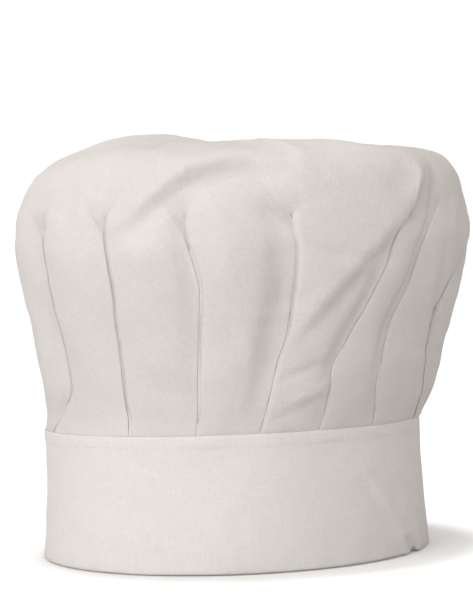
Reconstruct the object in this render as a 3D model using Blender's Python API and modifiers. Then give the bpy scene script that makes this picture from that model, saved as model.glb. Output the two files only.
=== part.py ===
"""Chef toque: a pleated cloth crown gathered into a folded head band, closed at the back by a hook-and-loop tab.

Frame: metres, +Z up. The origin is the middle of the head opening, on the plane of the band's lower edge, and
the wearer faces -Y. A turn is an angle in degrees seen from above, from the middle of the back (+Y) towards +X.
An inset is a distance inwards from the band's outer face, so a negative inset lies outside it.
Cloth is drawn thicker than it is and layers keep a clear gap, so that every piece is its own closed solid.
"""

import math

import bmesh
import bpy
import numpy as np
from mathutils import Matrix, Vector

MM = 0.001
GAP = 0.3 * MM
WELD = 0.01 * MM
FACET = 5.0  # degrees between the columns of a strip

# Head band: one strip folded along its lower edge, with an interlining between its leaves.
BAND_HEIGHT = 64 * MM
BAND_RADIUS = 94.4 * MM
BAND_FLARE = 3.2 * MM
FLARE_POWER = 2.2
BAND_LEAF = 0.7 * MM
BAND_POCKET = 1.4 * MM
BAND_THICKNESS = 2 * BAND_LEAF + BAND_POCKET
BAND_END = 3.5  # degrees from the middle of the back to each end of the band
POCKET_MIDDLE = BAND_THICKNESS / 2
POCKET_LAYER = BAND_POCKET - 2 * GAP
INTERLINING_LOW = 1.5 * MM
INTERLINING_HIGH = 54.5 * MM

# Crown: one round cloth, pleated into the band. Knots in mm are (height, radius), and (height, shift to +X) in LEAN.
CROWN_WALL = POCKET_LAYER
ALLOWANCE_LOW = 55.3 * MM
CROWN_SPLIT = 188 * MM
CROWN_SIDE = (
    (64.2, 93.4), (67, 96.2), (74, 97), (96, 101.2), (120, 107.6), (144, 114), (162, 113.4), (178, 111), (188, 103.5),
)
CROWN_TOP = ((188.0, 103.5), (190.8, 98), (193.6, 88), (197, 66), (199.2, 42), (200.2, 20), (200.4, 0))
LEAN = ((64, 0), (74, 2), (88, 4), (112, 5.7), (136, 7.3), (168, 7.3), (184, 9), (190, 8), (197, 2), (201, 0))
PEAK_RISE = 6.5 * MM
PEAK_PLACE = (-34 * MM, -8 * MM)
PEAK_SPREAD = 30 * MM
PLEAT_TURNS = (17, 35, 53, 71, 89, 107, 133, 154, 174, 193, 215, 249, 271, 289, 307, 325, 343)
PLEAT_DEPTH = 5 * MM
PLEAT_LOW = 66 * MM
PLEAT_HIGH = 178 * MM
PLEAT_ROUNDING = 1.3
PLEAT_COLUMNS = 5
CROWN_ROWS = (ALLOWANCE_LOW, 64.2 * MM, 67 * MM, 74 * MM, 90 * MM)
UPPER_ROWS = (128 * MM, 144 * MM, 160 * MM, 176 * MM)
TOP_COLUMNS = 54

# Back slit in the crown, above the gap between the band's ends.
SLIT_SHOULDER = 106 * MM
SLIT_TOP = 112 * MM
SLIT_TAPER = 1.7  # degrees that each side closes by, up to the shoulder
BINDING_RADIUS = 0.8 * MM
BAR_TACK_RADIUS = 0.4 * MM
BAR_TACK_HALF = 2.0  # degrees
BAR_TACK_HEIGHT = 115 * MM

# Closure: a tab sewn to one end of the band, and tape for it on the other end.
TAB_LOW = 7 * MM
TAB_HIGH = 57 * MM
TAB_LEAF = 0.5 * MM
TAB_THICKNESS = 3 * TAB_LEAF + 2 * GAP
ROOT_START, ROOT_END = -14.0, -4.5
TAB_START, TAB_END = -4.2, 30.0
TAB_RISEN = 4.5  # turn by which the tab has climbed on to the tape
TAPE = 0.8 * MM
TAB_RISE = 2 * (TAPE + GAP)
HINGE_TURN = -4.35
LOOP_START, LOOP_END = 5.0, 48.0
LOOP_LOW, LOOP_HIGH = 13 * MM, 51 * MM
HOOK_START, HOOK_END = 8.0, 27.0
HOOK_LOW, HOOK_HIGH = 17 * MM, 47 * MM

# Care label, sewn flat inside the band, and the sewing thread.
LABEL_START, LABEL_END = 14.0, 44.0
LABEL_LOW, LABEL_HIGH = 14 * MM, 46 * MM
LABEL_THICKNESS = 0.4 * MM
THREAD_RADIUS = 0.25 * MM
STITCH_MARGIN = 2.5 * MM
TOPSTITCH_HEIGHT = 58.5 * MM
END_STITCH_TURN = 5.6

COTTON = ("white_cotton", (0.87, 0.85, 0.83), 0.9)
INTERLINING = ("interlining", (0.92, 0.92, 0.9), 0.95)
TAPE_WHITE = ("tape_white", (0.84, 0.84, 0.82), 0.8)
THREAD = ("white_thread", (0.9, 0.88, 0.85), 0.6)
LABEL_SATIN = ("label_satin", (0.93, 0.93, 0.92), 0.45)


def clear_scene():
    for thing in list(bpy.data.objects):
        bpy.data.objects.remove(thing, do_unlink=True)


def new_collection(name):
    made = bpy.data.collections.new(name)
    bpy.context.scene.collection.children.link(made)
    return made


def new_material(name, finish):
    """Each sub-part has its own copy of a finish, which is a name, a colour and a roughness."""
    kind, colour, roughness = finish
    made = bpy.data.materials.new(f"{name}_{kind}")
    made.use_nodes = True
    shader = made.node_tree.nodes["Principled BSDF"]
    shader.inputs["Base Color"].default_value = (*colour, 1.0)
    shader.inputs["Roughness"].default_value = roughness
    shader.inputs["Metallic"].default_value = 0.0
    return made


def share_of(value, low, high):
    """How far value is from low to high, held between 0 and 1."""
    return min(1.0, max(0.0, (value - low) / (high - low)))


def eased(share):
    return share * share * (3.0 - 2.0 * share)


def round_point(radius, turn, height, shift=0.0):
    angle = math.radians(turn)
    return Vector((shift + radius * math.sin(angle), radius * math.cos(angle), height))


def band_face(height):
    """Radius of the band's outer face, which flares out towards its lower edge."""
    return BAND_RADIUS + BAND_FLARE * (1.0 - share_of(height, 0.0, BAND_HEIGHT)) ** FLARE_POWER


def tab_rise(turn):
    """How far the tab has climbed from the band on to the tapes."""
    return TAB_RISE * eased(share_of(turn, TAB_START, TAB_RISEN))


def slit_turn(height):
    """Half-angle of the slit: a slot that narrows up to its shoulder and closes at its top."""
    narrowed = BAND_END - SLIT_TAPER * share_of(height, BAND_HEIGHT, SLIT_SHOULDER)
    return narrowed * (1.0 - share_of(height, SLIT_SHOULDER, SLIT_TOP))


def knot_value(height, knots):
    """A value read between (height, value) knots, which are in millimetres."""
    heights, values = zip(*knots)
    return MM * float(np.interp(height / MM, heights, values))


def panel_share(turn):
    """Where a turn lies in its pleat panel: 0 at the edge tucked under, 1 at the edge that lies on top."""
    starts = [PLEAT_TURNS[-1] - 360, *PLEAT_TURNS, PLEAT_TURNS[0] + 360]
    for low, high in zip(starts, starts[1:]):
        if low <= turn < high:
            return (turn - low) / (high - low)
    return 0.0


def crown_point(turn, height, inset):
    """A point inset from the crown's outer face. Each pleat panel slopes inwards towards its tucked edge."""
    swell = math.sin(math.pi * share_of(height, PLEAT_LOW, PLEAT_HIGH))
    fold = PLEAT_DEPTH * swell * (1.0 - panel_share(turn)) ** PLEAT_ROUNDING
    radius = knot_value(height, CROWN_SIDE) - fold - inset
    return round_point(radius, turn, height, knot_value(height, LEAN))


def bent_sheet(name, finish, columns, rows, place, thickness, group):
    """A flat grid bent by place(across, up), both counted in cells, and thickened equally to both sides."""
    grid = bmesh.new()
    bmesh.ops.create_grid(grid, x_segments=columns, y_segments=rows, size=0.5)
    for vert in grid.verts:
        across = round((vert.co.x + 0.5) * columns)
        up = round((vert.co.y + 0.5) * rows)
        vert.co = place(across, up)
    bmesh.ops.remove_doubles(grid, verts=grid.verts, dist=WELD)
    mesh = bpy.data.meshes.new(name)
    grid.to_mesh(mesh)
    grid.free()
    mesh.shade_smooth()
    piece = bpy.data.objects.new(name, mesh)
    piece.data.materials.append(new_material(name, finish))
    group.objects.link(piece)
    wall = piece.modifiers.new("Cloth thickness", "SOLIDIFY")
    wall.thickness = thickness
    wall.offset = 0.0
    wall.use_even_offset = True
    return piece


def strip(name, finish, path, start, end, thickness, group, rise=None):
    """A strip laid along the band from one turn to another. Its cross-section is a path of (inset, height)."""
    columns = max(2, round((end - start) / FACET))

    def place(across, up):
        inset, height = path[up]
        turn = start + (end - start) * across / columns
        lifted = rise(turn) if rise else 0.0
        return round_point(band_face(height) - inset + lifted, turn, height)

    return bent_sheet(name, finish, columns, len(path) - 1, place, thickness, group)


def upright(inset, low, high, rows=3):
    """The cross-section of a flat layer that follows the band's face."""
    return [(inset, low + (high - low) * row / rows) for row in range(rows + 1)]


def folded(outer_inset, inner_inset, low, high, rows=4):
    """The cross-section of a strip folded at its lower edge: down the outer leaf, then up the inner one."""
    outer = upright(outer_inset, low, high, rows)
    inner = upright(inner_inset, low, high, rows)
    return outer[::-1] + inner


def thread(name, finish, route, group, radius=THREAD_RADIUS, closed=False):
    """A thin round cord along a route of points."""
    curve = bpy.data.curves.new(name, "CURVE")
    curve.dimensions = "3D"
    curve.bevel_depth = radius
    curve.bevel_resolution = 1
    curve.use_fill_caps = True
    line = curve.splines.new("POLY")
    line.points.add(len(route) - 1)
    for knot, point in zip(line.points, route):
        knot.co = (*point, 1.0)
    line.use_cyclic_u = closed
    piece = bpy.data.objects.new(name, curve)
    curve.materials.append(new_material(name, finish))
    group.objects.link(piece)
    return piece


def band_route(corners, inset, rise=None):
    """Points along the band's face between (turn, height) corners, one for every few degrees."""
    route = []
    for (turn, height), (next_turn, next_height) in zip(corners, corners[1:]):
        steps = max(1, math.ceil(abs(next_turn - turn) / FACET))
        for step in range(steps):
            part = step / steps
            at = turn + (next_turn - turn) * part
            up = height + (next_height - height) * part
            route.append((at, up))
    route.append(corners[-1])
    return [
        round_point(band_face(up) - inset + (rise(at) if rise else 0.0), at, up)
        for at, up in route
    ]


def box_corners(start, end, low, high, margin_turn):
    """The corners of a stitched box just inside a patch's edges, the first one repeated at the end."""
    left, right = start + margin_turn, end - margin_turn
    bottom, top = low + STITCH_MARGIN, high - STITCH_MARGIN
    return [(left, bottom), (right, bottom), (right, top), (left, top), (left, bottom)]


def make_band(group):
    outer = BAND_LEAF / 2
    inner = BAND_THICKNESS - BAND_LEAF / 2
    path = folded(outer, inner, BAND_LEAF / 2, BAND_HEIGHT)
    strip("band_cloth", COTTON, path, BAND_END, 360 - BAND_END, BAND_LEAF, group)
    lining = upright(POCKET_MIDDLE, INTERLINING_LOW, INTERLINING_HIGH)
    strip("band_interlining", INTERLINING, lining, BAND_END, 360 - BAND_END, POCKET_LAYER, group)


def make_band_stitching(group):
    on_face = -(GAP + THREAD_RADIUS)
    ring = [(END_STITCH_TURN + 1, TOPSTITCH_HEIGHT), (359 - END_STITCH_TURN, TOPSTITCH_HEIGHT)]
    thread("band_topstitch", THREAD, band_route(ring, on_face), group)
    inside = BAND_THICKNESS + GAP + THREAD_RADIUS
    for side, turn in (("right", END_STITCH_TURN), ("left", -END_STITCH_TURN)):
        edge = [(turn, STITCH_MARGIN), (turn, BAND_HEIGHT / 2), (turn, BAND_HEIGHT - STITCH_MARGIN)]
        thread(f"band_end_stitch_{side}", THREAD, band_route(edge, inside), group)


def make_crown_side(group):
    """The pleated side wall, with its seam allowance down in the band's pocket and the slit at the back."""
    rows = [*CROWN_ROWS, SLIT_SHOULDER, SLIT_TOP, *UPPER_ROWS, CROWN_SPLIT - GAP / 2]
    edges = [0, *PLEAT_TURNS, 360]
    turns = [
        low + (high - low) * step / PLEAT_COLUMNS
        for low, high in zip(edges, edges[1:])
        for step in range(PLEAT_COLUMNS)
    ]
    turns.append(360)

    def place(across, up):
        turn, height = turns[across], rows[up]
        from_back = min(turn, 360 - turn)
        opened = slit_turn(height) * (1.0 - share_of(from_back, 0, PLEAT_TURNS[0]))
        turn += opened if turn < 180 else -opened
        if height < BAND_HEIGHT:
            return round_point(band_face(height) - POCKET_MIDDLE, turn, height)
        return crown_point(turn, height, CROWN_WALL / 2)

    bent_sheet("crown_side", COTTON, len(turns) - 1, len(rows) - 1, place, CROWN_WALL, group)


def make_crown_top(group):
    """The upper dome, with a soft peak left of the middle."""

    def place(across, up):
        height, radius = CROWN_TOP[up]
        height = height * MM + (GAP / 2 if up == 0 else 0.0)
        turn = 360 * across / TOP_COLUMNS
        point = round_point(radius * MM - CROWN_WALL / 2, turn, height, knot_value(height, LEAN))
        apart = math.hypot(point.x - PEAK_PLACE[0], point.y - PEAK_PLACE[1])
        point.z += PEAK_RISE * math.exp(-0.5 * (apart / PEAK_SPREAD) ** 2)
        return point

    bent_sheet("crown_top", COTTON, TOP_COLUMNS, len(CROWN_TOP) - 1, place, CROWN_WALL, group)


def binding_route(outwards):
    """Up one side of the slit, over in a half circle and down the other side, on the crown's wall."""
    clear = BINDING_RADIUS + GAP
    heights = [BAND_HEIGHT + 3 * MM + step * 6 * MM for step in range(7)]
    sides = []
    for height in heights:
        radius = crown_point(0, height, CROWN_WALL / 2).y
        sides.append((radius * math.radians(slit_turn(height)) - clear, height))
    reach = sides[-1][0]
    arch = [
        (reach * math.cos(angle), heights[-1] + reach * math.sin(angle))
        for angle in np.linspace(0.0, math.pi, 7)
    ]
    outline = sides[:-1] + arch + [(-across, height) for across, height in sides[-2::-1]]
    route = []
    for across, height in outline:
        wall = crown_point(0, height, CROWN_WALL / 2)
        route.append(Vector((wall.x + across, wall.y + outwards, height)))
    return route


def make_slit(group):
    thread("slit_binding", COTTON, binding_route(0.0), group, radius=BINDING_RADIUS)
    stitch_out = BINDING_RADIUS + GAP + THREAD_RADIUS
    thread("slit_binding_stitch", THREAD, binding_route(stitch_out), group)
    bar = [
        crown_point(turn % 360, BAR_TACK_HEIGHT, -(GAP + BAR_TACK_RADIUS))
        for turn in (-BAR_TACK_HALF, 0.0, BAR_TACK_HALF)
    ]
    thread("slit_bar_tack", THREAD, bar, group, radius=BAR_TACK_RADIUS)


def make_closure_root(group):
    """The patch that carries the tab, and the loop tape on the other end of the band."""
    patch_thickness = 2 * TAB_LEAF
    patch = upright(-(GAP + patch_thickness / 2), TAB_LOW, TAB_HIGH)
    strip("closure_tab_root", COTTON, patch, ROOT_START, ROOT_END, patch_thickness, group)
    on_patch = -(GAP + patch_thickness + GAP + THREAD_RADIUS)
    box = box_corners(ROOT_START, ROOT_END, TAB_LOW, TAB_HIGH, 1.4)
    thread("tab_root_stitch", THREAD, band_route(box, on_patch)[:-1], group, closed=True)
    tape = upright(-(GAP + TAPE / 2), LOOP_LOW, LOOP_HIGH)
    strip("loop_tape", TAPE_WHITE, tape, LOOP_START, LOOP_END, TAPE, group)
    on_tape = -(GAP + TAPE + GAP + THREAD_RADIUS)
    box = box_corners(LOOP_START, LOOP_END, LOOP_LOW, LOOP_HIGH, 1.2)
    thread("loop_tape_stitch", THREAD, band_route(box, on_tape)[:-1], group, closed=True)


def make_closure_tab(group):
    """The tab that peels off: a folded strip with its own interlining, and hook tape on its inner face."""
    inner = -(GAP + TAB_LEAF / 2)
    middle = -(GAP + TAB_THICKNESS / 2)
    outer = -(GAP + TAB_THICKNESS - TAB_LEAF / 2)
    low = TAB_LOW + TAB_LEAF / 2
    path = folded(outer, inner, low, TAB_HIGH)
    pieces = [strip("closure_tab", COTTON, path, TAB_START, TAB_END, TAB_LEAF, group, tab_rise)]
    lining = upright(middle, TAB_LOW + 2 * TAB_LEAF, TAB_HIGH - TAB_LEAF)
    pieces.append(
        strip("closure_tab_interlining", INTERLINING, lining, TAB_START, TAB_END, TAB_LEAF, group, tab_rise)
    )
    hook = upright(TAPE / 2, HOOK_LOW, HOOK_HIGH)
    pieces.append(strip("hook_tape", TAPE_WHITE, hook, HOOK_START, HOOK_END, TAPE, group, tab_rise))
    on_face = -(GAP + TAB_THICKNESS + GAP + THREAD_RADIUS)
    box = box_corners(HOOK_START, HOOK_END, HOOK_LOW, HOOK_HIGH, 1.0)
    route = band_route(box, on_face, tab_rise)[:-1]
    pieces.append(thread("hook_tape_stitch", THREAD, route, group, closed=True))
    left, right = TAB_START + 1.0, TAB_END - 1.4
    bottom, top = TAB_LOW + STITCH_MARGIN, TAB_HIGH - STITCH_MARGIN
    edge = [(left, bottom), (right, bottom), (right, top), (left, top)]
    route = band_route(edge, on_face, tab_rise)
    pieces.append(thread("closure_tab_edge_stitch", THREAD, route, group))
    return pieces


def make_care_label(group):
    label = upright(BAND_THICKNESS + GAP + LABEL_THICKNESS / 2, LABEL_LOW, LABEL_HIGH)
    strip("care_label", LABEL_SATIN, label, LABEL_START, LABEL_END, LABEL_THICKNESS, group)
    on_label = BAND_THICKNESS + GAP + LABEL_THICKNESS + GAP + THREAD_RADIUS
    box = box_corners(LABEL_START, LABEL_END, LABEL_LOW, LABEL_HIGH, 1.4)
    thread("care_label_stitch", THREAD, band_route(box, on_label)[:-1], group, closed=True)


def hang_on_hinge(pieces, group):
    """The tab bends along a line on its outer face, where it leaves its root."""
    hinge = bpy.data.objects.new("closure_tab_hinge_line", None)
    radius = band_face(TAB_LOW) + GAP + TAB_THICKNESS
    hinge.location = round_point(radius, HINGE_TURN, 0.5 * (TAB_LOW + TAB_HIGH))
    group.objects.link(hinge)
    for piece in pieces:
        piece.parent = hinge
        piece.matrix_parent_inverse = Matrix.Translation(-hinge.location)


def main():
    clear_scene()
    group = new_collection("chef_toque")
    make_band(group)
    make_band_stitching(group)
    make_crown_side(group)
    make_crown_top(group)
    make_slit(group)
    make_closure_root(group)
    hang_on_hinge(make_closure_tab(group), group)
    make_care_label(group)


main()
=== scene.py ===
"""Chef toque: a puffed white crown, knife-pleated into a folded head band that a hook-and-loop tab closes.

Metres, +Z up, the wearer faces -Y. A turn is an angle in degrees from the middle of the back towards +X.
The crown and all small reliefs are worked out in millimetres. Out is a distance outside the band's outer
face, or outside the crown's smooth form.
"""

import math

import bpy
import numpy as np
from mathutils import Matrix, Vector, noise


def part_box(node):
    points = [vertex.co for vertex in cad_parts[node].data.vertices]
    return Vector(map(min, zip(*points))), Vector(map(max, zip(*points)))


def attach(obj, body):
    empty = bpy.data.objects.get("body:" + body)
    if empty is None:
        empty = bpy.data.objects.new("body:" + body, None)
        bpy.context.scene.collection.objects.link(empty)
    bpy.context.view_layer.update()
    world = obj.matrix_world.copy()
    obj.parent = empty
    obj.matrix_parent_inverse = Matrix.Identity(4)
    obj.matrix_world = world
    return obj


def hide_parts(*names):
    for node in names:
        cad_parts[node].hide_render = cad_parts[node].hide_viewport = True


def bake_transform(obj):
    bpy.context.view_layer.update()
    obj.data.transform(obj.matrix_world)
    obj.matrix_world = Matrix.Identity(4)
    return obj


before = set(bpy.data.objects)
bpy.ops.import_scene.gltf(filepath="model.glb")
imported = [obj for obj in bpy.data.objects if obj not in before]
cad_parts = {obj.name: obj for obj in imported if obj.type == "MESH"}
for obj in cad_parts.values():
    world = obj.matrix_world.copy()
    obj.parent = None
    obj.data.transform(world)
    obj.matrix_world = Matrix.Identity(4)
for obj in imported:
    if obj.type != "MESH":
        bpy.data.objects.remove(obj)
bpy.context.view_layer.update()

MM = 0.001

# Sizes read from the frame.
BAND_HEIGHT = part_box("band_cloth")[1].z
BAND_FOOT_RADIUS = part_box("band_cloth")[1].x
TOPSTITCH_HEIGHT = (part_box("band_topstitch")[0].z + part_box("band_topstitch")[1].z) / 2
BAR_TACK_HEIGHT = (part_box("slit_bar_tack")[0].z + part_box("slit_bar_tack")[1].z) / 2
TAB_LOW, TAB_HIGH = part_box("closure_tab")[0].z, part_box("closure_tab")[1].z
LOOP_LOW, LOOP_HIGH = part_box("loop_tape")[0].z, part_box("loop_tape")[1].z
HOOK_LOW, HOOK_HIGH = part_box("hook_tape")[0].z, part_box("hook_tape")[1].z
LABEL_LOW, LABEL_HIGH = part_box("care_label")[0].z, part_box("care_label")[1].z
LINING_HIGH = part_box("band_interlining")[1].z

# Band.
BAND_FLARE = 3.2 * MM
BAND_RADIUS = BAND_FOOT_RADIUS - BAND_FLARE
FLARE_POWER = 2.2
BAND_THICKNESS = 2.8 * MM
BAND_END = 3.5
LEAF = 0.45 * MM
CROWN_CLOTH = 0.22 * MM
SEAM_HEIGHT = 64.0  # mm: the band's top edge, where the crown comes out of it
SEAM_ALLOWANCE = 5.2  # mm of the crown's cloth down inside the band
END_STITCH_TURN = 5.6

# Turns where the closure's pieces start and end.
ROOT_START = -14.0
TAB_START, TAB_RISEN, TAB_END = -4.2, 4.5, 30.0
TAB_RISE = 2.2 * MM
LOOP_START, LOOP_END = 5.0, 48.0
HOOK_START, HOOK_END = 8.0, 27.0
LABEL_START, LABEL_END = 14.0, 44.0


# ---------------------------------------------------------------- measuring and shaping helpers

def soft_curve(knots):
    """A smooth line through (place, value) knots that doesn't overshoot them."""
    x = np.array([knot[0] for knot in knots], float)
    y = np.array([knot[1] for knot in knots], float)
    step = np.diff(x)
    slope = np.diff(y) / step
    tangent = np.zeros(len(x))
    tangent[0], tangent[-1] = slope[0], slope[-1]
    for i in range(1, len(x) - 1):
        if slope[i - 1] * slope[i] > 0:
            a, b = 2 * step[i] + step[i - 1], step[i] + 2 * step[i - 1]
            tangent[i] = (a + b) / (a / slope[i - 1] + b / slope[i])

    def read(at):
        at = np.clip(np.asarray(at, float), x[0], x[-1])
        i = np.clip(np.searchsorted(x, at, side="right") - 1, 0, len(x) - 2)
        h = step[i]
        t = (at - x[i]) / h
        start = y[i] * (1 + 2 * t) * (1 - t) ** 2 + tangent[i] * h * t * (1 - t) ** 2
        end = y[i + 1] * t * t * (3 - 2 * t) + tangent[i + 1] * h * t * t * (t - 1)
        return start + end

    return read


def eased(value, low, high):
    share = np.clip((np.asarray(value, float) - low) / (high - low), 0.0, 1.0)
    return share * share * (3 - 2 * share)


def ripple(x, y, scale, seed):
    """Smooth noise about zero over a pair of arrays, with features about one scale wide."""
    x, y = np.broadcast_arrays(np.asarray(x, float), np.asarray(y, float))
    values = [noise.noise(Vector((a, b, seed))) for a, b in zip(x.ravel() / scale, y.ravel() / scale)]
    return np.array(values).reshape(x.shape)


def crease_relief(creases, turn, height, radius):
    """How far a set of creases pushes the cloth out, in mm, at arrays of turn and height in mm.

    A crease is a line of (turn, height) points, how far it stands out, its half-width and its kind: a fold is
    the same on both sides, and a ledge stands out on the right of its line and is sunk on the left.
    """
    relief = np.zeros(np.shape(turn))
    for line, rise, width, kind in creases:
        points = np.array(line, float)
        mean_turn, mean_height = points.mean(axis=0)
        scale = math.radians(1) * radius(mean_height)
        x = ((turn - mean_turn + 180) % 360 - 180) * scale
        y = height - mean_height
        px, py = (points[:, 0] - mean_turn) * scale, points[:, 1] - mean_height
        reach = 5 * width
        near_across = (x > px.min() - reach) & (x < px.max() + reach)
        near_up = (y > py.min() - reach) & (y < py.max() + reach)
        near = near_across & near_up
        nx, ny = x[near], y[near]
        lengths = np.hypot(np.diff(px), np.diff(py))
        starts = np.concatenate([[0], np.cumsum(lengths)])
        best = np.full(nx.shape, 1e9)
        side = np.zeros(nx.shape)
        along = np.zeros(nx.shape)
        for i, length in enumerate(lengths):
            ux, uy = (px[i + 1] - px[i]) / length, (py[i + 1] - py[i]) / length
            rx, ry = nx - px[i], ny - py[i]
            t = np.clip(rx * ux + ry * uy, 0, length)
            distance = np.hypot(rx - t * ux, ry - t * uy)
            closer = distance < best
            best = np.where(closer, distance, best)
            side = np.where(closer, np.sign(ux * ry - uy * rx), side)
            along = np.where(closer, (starts[i] + t) / starts[-1], along)
        if kind == "fold":
            fade = np.sin(np.pi * np.clip(along * 0.88 + 0.06, 0, 1)) ** 0.6
            shape = np.exp(-((best / width) ** 2))
        else:
            fade = np.sin(np.pi * np.clip(along, 0, 1)) ** 0.8
            shape = np.tanh(side * best / (0.45 * width)) * np.exp(-((best / (1.6 * width)) ** 2))
        relief[near] += rise * shape * fade
    return relief


def sheet_mesh(name, points, pattern):
    """A sheet of quads through a grid of points, with the cloth's flat pattern in metres as its UV map."""
    rows, columns = points.shape[:2]
    bpy.ops.object.select_all(action="DESELECT")
    bpy.ops.mesh.primitive_grid_add(x_subdivisions=columns - 1, y_subdivisions=rows - 1, size=1)
    piece = bpy.context.object
    piece.name = name
    mesh = piece.data
    mesh.name = name
    mesh.vertices.foreach_set("co", points.astype(np.float32).ravel())
    corner = np.empty(len(mesh.loops), np.int64)
    mesh.loops.foreach_get("vertex_index", corner)
    layer = mesh.uv_layers.active
    layer.name = "pattern"
    layer.data.foreach_set("uv", pattern.reshape(-1, 2)[corner].astype(np.float32).ravel())
    mesh.shade_smooth()
    return piece


def make_active(piece):
    bpy.ops.object.select_all(action="DESELECT")
    piece.select_set(True)
    bpy.context.view_layer.objects.active = piece


def join_seam(piece, within):
    """Points this close made one, where a round cloth's two sides meet and at its middle."""
    make_active(piece)
    bpy.ops.object.mode_set(mode="EDIT")
    bpy.ops.mesh.select_all(action="SELECT")
    bpy.ops.mesh.remove_doubles(threshold=within)
    bpy.ops.object.mode_set(mode="OBJECT")


def thicken(piece, thickness):
    wall = piece.modifiers.new("Thickness", "SOLIDIFY")
    wall.thickness = thickness
    wall.offset = 0.0
    wall.use_even_offset = False
    make_active(piece)
    bpy.ops.object.modifier_apply(modifier=wall.name)
    return piece


# ---------------------------------------------------------------- pleats, shared by the crown and the band

# Each pleat: its visible edge as (turn, height in mm) points from the band up, how boldly it stands out, and
# the height in mm where it ends.
PLEATS = (
    (((17, 64), (16, 110), (18, 175)), 0.9, 168),
    (((35, 64), (36, 100), (33, 150), (34, 180)), 1.0, 164),
    (((53, 64), (51, 110), (54, 175)), 0.8, 156),
    (((71, 64), (73, 100), (69, 150), (70, 180)), 1.0, 172),
    (((90, 64), (88, 100), (92, 150), (93, 180)), 0.7, 150),
    (((110, 64), (115, 88), (117.5, 106), (116.5, 122), (112, 142), (108, 170)), 0.8, 138),
    (((136, 64), (140, 90), (139, 111), (136, 127), (130.5, 150), (123, 174), (120, 186)), 0.5, 178),
    (((155, 64), (155.5, 90), (152, 105), (147, 123), (141, 150), (135, 169), (131, 184)), 0.8, 177),
    (((173, 64), (171, 93), (168.5, 111), (168, 129), (167.6, 147), (168.6, 156), (172, 168), (177, 183)),
     1.1, 170),
    (((190.5, 64), (191.8, 85), (191.4, 108), (190.7, 131), (192, 144), (194.2, 159), (195, 168), (194, 184)),
     1.1, 175),
    (((211, 64), (213.6, 86), (214.2, 109), (213.6, 132), (214, 153), (215, 168), (215, 180)), 0.9, 170),
    (((249, 64), (241, 77), (235, 87), (236, 110), (236.6, 136), (236.6, 162), (240, 184)), 0.7, 186),
    (((271, 64), (269, 110), (272, 175)), 0.9, 165),
    (((289, 64), (291, 100), (287, 150), (288, 180)), 1.0, 171),
    (((307, 64), (305, 110), (309, 175)), 0.8, 156),
    (((325, 64), (326, 100), (323, 150), (324, 180)), 1.0, 168),
    (((343, 64), (344, 110), (342, 175)), 0.9, 162),
)
PLEAT_COUNT = len(PLEATS)
PLEAT_EDGES = [soft_curve([(height, turn) for turn, height in line]) for line, _, _ in PLEATS]
UNDERLAY_AT_BAND = 8.0  # degrees of turn that a pleat's hidden layers take up in the seam


# ---------------------------------------------------------------- band

# Wrinkles that wearing and washing leave on the band.
BAND_CREASES = (
    (((216, 57), (207, 50), (197, 45)), -0.45, 1.5, "fold"),
    (((216, 53), (206, 46), (195, 42)), 0.3, 3.0, "fold"),
    (((146, 51), (141, 47), (136, 38), (131, 28), (125.7, 17), (118.6, 5)), 0.6, 2.2, "fold"),
    (((141, 39), (135, 26), (129, 14)), -0.6, 2.2, "fold"),
    (((131, 49), (128, 42), (125, 37), (118, 31), (113, 24)), -0.7, 1.5, "fold"),
    (((128, 33), (124, 24), (120, 18)), -0.6, 2.0, "fold"),
    (((124, 46), (117, 38), (110, 30)), 0.6, 2.0, "fold"),
    (((133, 16), (124, 10), (116, 9)), 0.5, 1.6, "fold"),
    (((121, 9), (117.5, -4)), -1.5, 1.6, "fold"),
    (((125, 12), (122, -4)), 0.8, 1.6, "fold"),
    (((113.6, 13), (114, -4)), 0.9, 1.6, "fold"),
    (((180, 40), (183, 20), (181, 2)), 0.35, 4.5, "fold"),
    (((171, 34), (168, 10)), -0.25, 5.0, "fold"),
    (((236, 40), (228, 22), (226, 6)), 0.3, 5.0, "fold"),
    (((96, 50), (88, 30), (84, 8)), -0.5, 3.4, "fold"),
    (((74, 44), (66, 22)), 0.5, 3.4, "fold"),
    (((270, 48), (279, 26), (282, 8)), -0.5, 3.2, "fold"),
    (((300, 40), (306, 18)), 0.5, 3.6, "fold"),
    (((330, 44), (324, 16)), -0.4, 3.0, "fold"),
)
ALLOWANCE_BULK = 0.28  # mm that the seam allowance inside lifts the outer leaf
PLEAT_BULK = 0.30  # mm more over each pleat's hidden layers
HEM_NOTCH_TURN, HEM_NOTCH_HALF, HEM_NOTCH_RISE = 117.5, 1.5, 2.4 * MM


def band_face(height):
    """Radius of the band's outer face, in metres, at heights in metres."""
    drop = np.clip(1 - np.asarray(height) / BAND_HEIGHT, 0, 1)
    return BAND_RADIUS + BAND_FLARE * drop**FLARE_POWER


def pleat_bulk(turn):
    """1 over each pleat's hidden layers in the seam, with a sharp drop at the pleat's edge."""
    bulk = np.zeros(np.shape(turn))
    for edge in PLEAT_EDGES:
        behind = (float(edge(SEAM_HEIGHT)) - turn) % 360
        bulk += np.where(behind < 180, (1 - eased(behind, 0.72 * UNDERLAY_AT_BAND, UNDERLAY_AT_BAND)), 0)
    return bulk


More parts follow.
